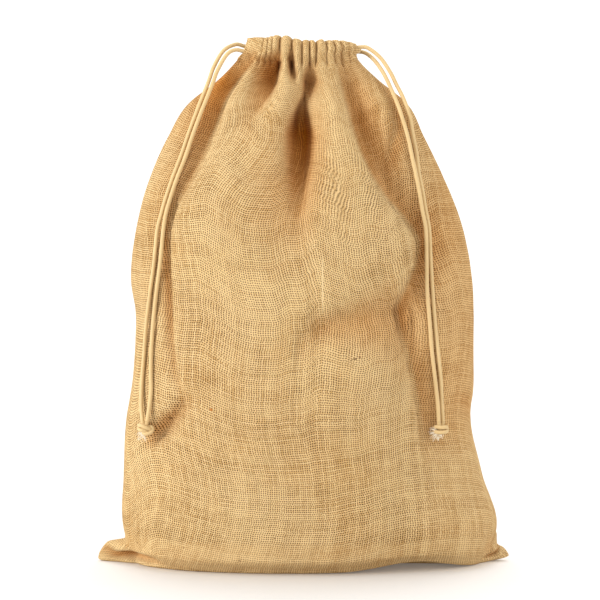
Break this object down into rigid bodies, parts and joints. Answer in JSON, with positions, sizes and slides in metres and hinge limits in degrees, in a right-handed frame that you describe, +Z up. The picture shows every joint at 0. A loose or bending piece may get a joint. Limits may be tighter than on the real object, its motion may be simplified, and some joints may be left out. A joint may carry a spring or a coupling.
{
  "type": "burlap drawstring sack",
  "caption": "Jute sack standing softly open inside, its mouth gathered in casings on drawcords whose knotted ends hang down the front.",
  "frame": {"origin": "on the floor, under the middle of the sack's outline", "axes": "+Z up, -Y is the front where the knotted cord ends hang, +X is to the right seen from the front"},
  "size_m": [0.3693, 0.1786, 0.4727],
  "materials": {
    "jute_cloth": "natural golden tan plain weave jute, matt, slightly hairy",
    "cotton_cord": "pale cream yellow waxed cotton, smooth, with a low sheen"
  },
  "bodies": {
    "root": {"sack_cloth": "jute_cloth", "left_cord_in_casing": "cotton_cord", "left_cord_front": "cotton_cord", "left_cord_back": "cotton_cord", "left_knot": "cotton_cord", "right_cord_in_casing": "cotton_cord", "right_cord_front": "cotton_cord", "right_cord_back": "cotton_cord", "right_knot": "cotton_cord"}
  },
  "joints": []
}
